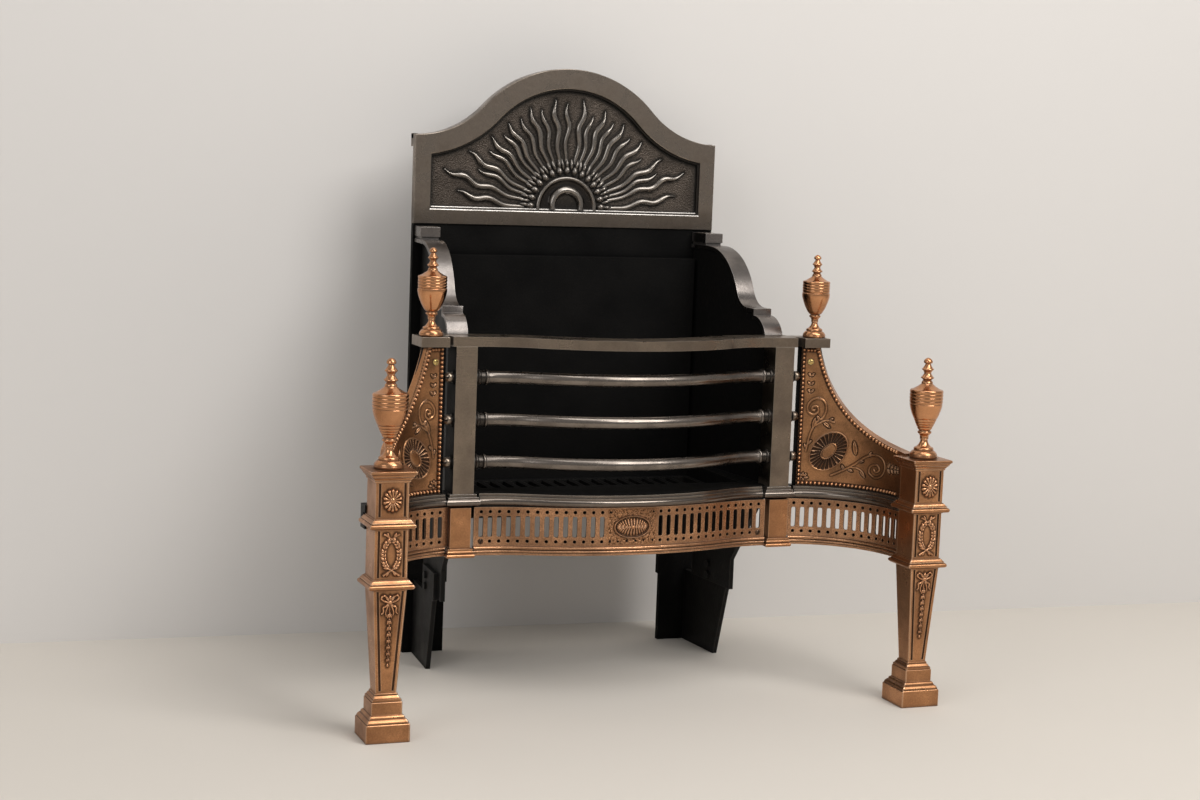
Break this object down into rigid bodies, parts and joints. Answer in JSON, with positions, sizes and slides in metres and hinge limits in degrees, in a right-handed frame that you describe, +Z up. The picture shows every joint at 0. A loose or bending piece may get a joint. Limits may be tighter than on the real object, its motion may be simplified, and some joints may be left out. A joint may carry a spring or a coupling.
{
  "type": "fire basket",
  "caption": "Serpentine-fronted fire basket with arched back, bowed bars, pierced frets, curved spandrels, tapered front legs and urn finials; its bottom grate lifts out.",
  "frame": {"origin": "on the floor, under the middle of the bounding box", "axes": "+X to the right seen from the front, -Y out of the front, +Z up"},
  "size_m": [0.863, 0.504, 0.914],
  "materials": {
    "steel": "burnished",
    "copper": "brushed copper with dark patina in the recesses",
    "iron": "black",
    "brass": "satin"
  },
  "bodies": {
    "basket": {"back_panel": "steel", "sunburst": "steel", "fire_back": "iron", "back_bolts": "iron", "fire_slab": "iron", "hind_foot_left": "iron", "hind_foot_right": "iron", "cheek_left": "iron", "cheek_right": "iron", "cheek_rim_left": "steel", "cheek_rim_right": "steel", "lug_bolts": "iron", "hearth_plate": "iron", "ledge_middle": "steel", "ledge_left": "steel", "ledge_right": "steel", "ledge_block_left": "steel", "ledge_block_right": "steel", "upright_left": "steel", "upright_right": "steel", "bar_upper": "steel", "bar_middle": "steel", "bar_lower": "steel", "top_rail": "steel", "shelf_left": "steel", "shelf_right": "steel", "fret_middle": "copper", "fret_left": "copper", "fret_right": "copper", "pilaster_left": "copper", "pilaster_right": "copper", "fret_screws": "brass", "spandrel_left": "copper", "spandrel_right": "copper", "spandrel_backing_left": "iron", "spandrel_backing_right": "iron", "spandrel_screws": "brass", "leg_left": "copper", "leg_right": "copper", "leg_mounts_left": "copper", "leg_mounts_right": "copper", "leg_bolts": "iron", "finial_front_left": "copper", "finial_front_right": "copper", "finial_rear_left": "copper", "finial_rear_right": "copper", "finial_studs": "iron"},
    "grate": {"bottom_grate": "iron"}
  },
  "joints": [
    {"name": "grate_lift", "type": "slide", "parent": "basket", "child": "grate", "axis": [0, 0, 1], "range_m": [0, 0.42]}
  ]
}
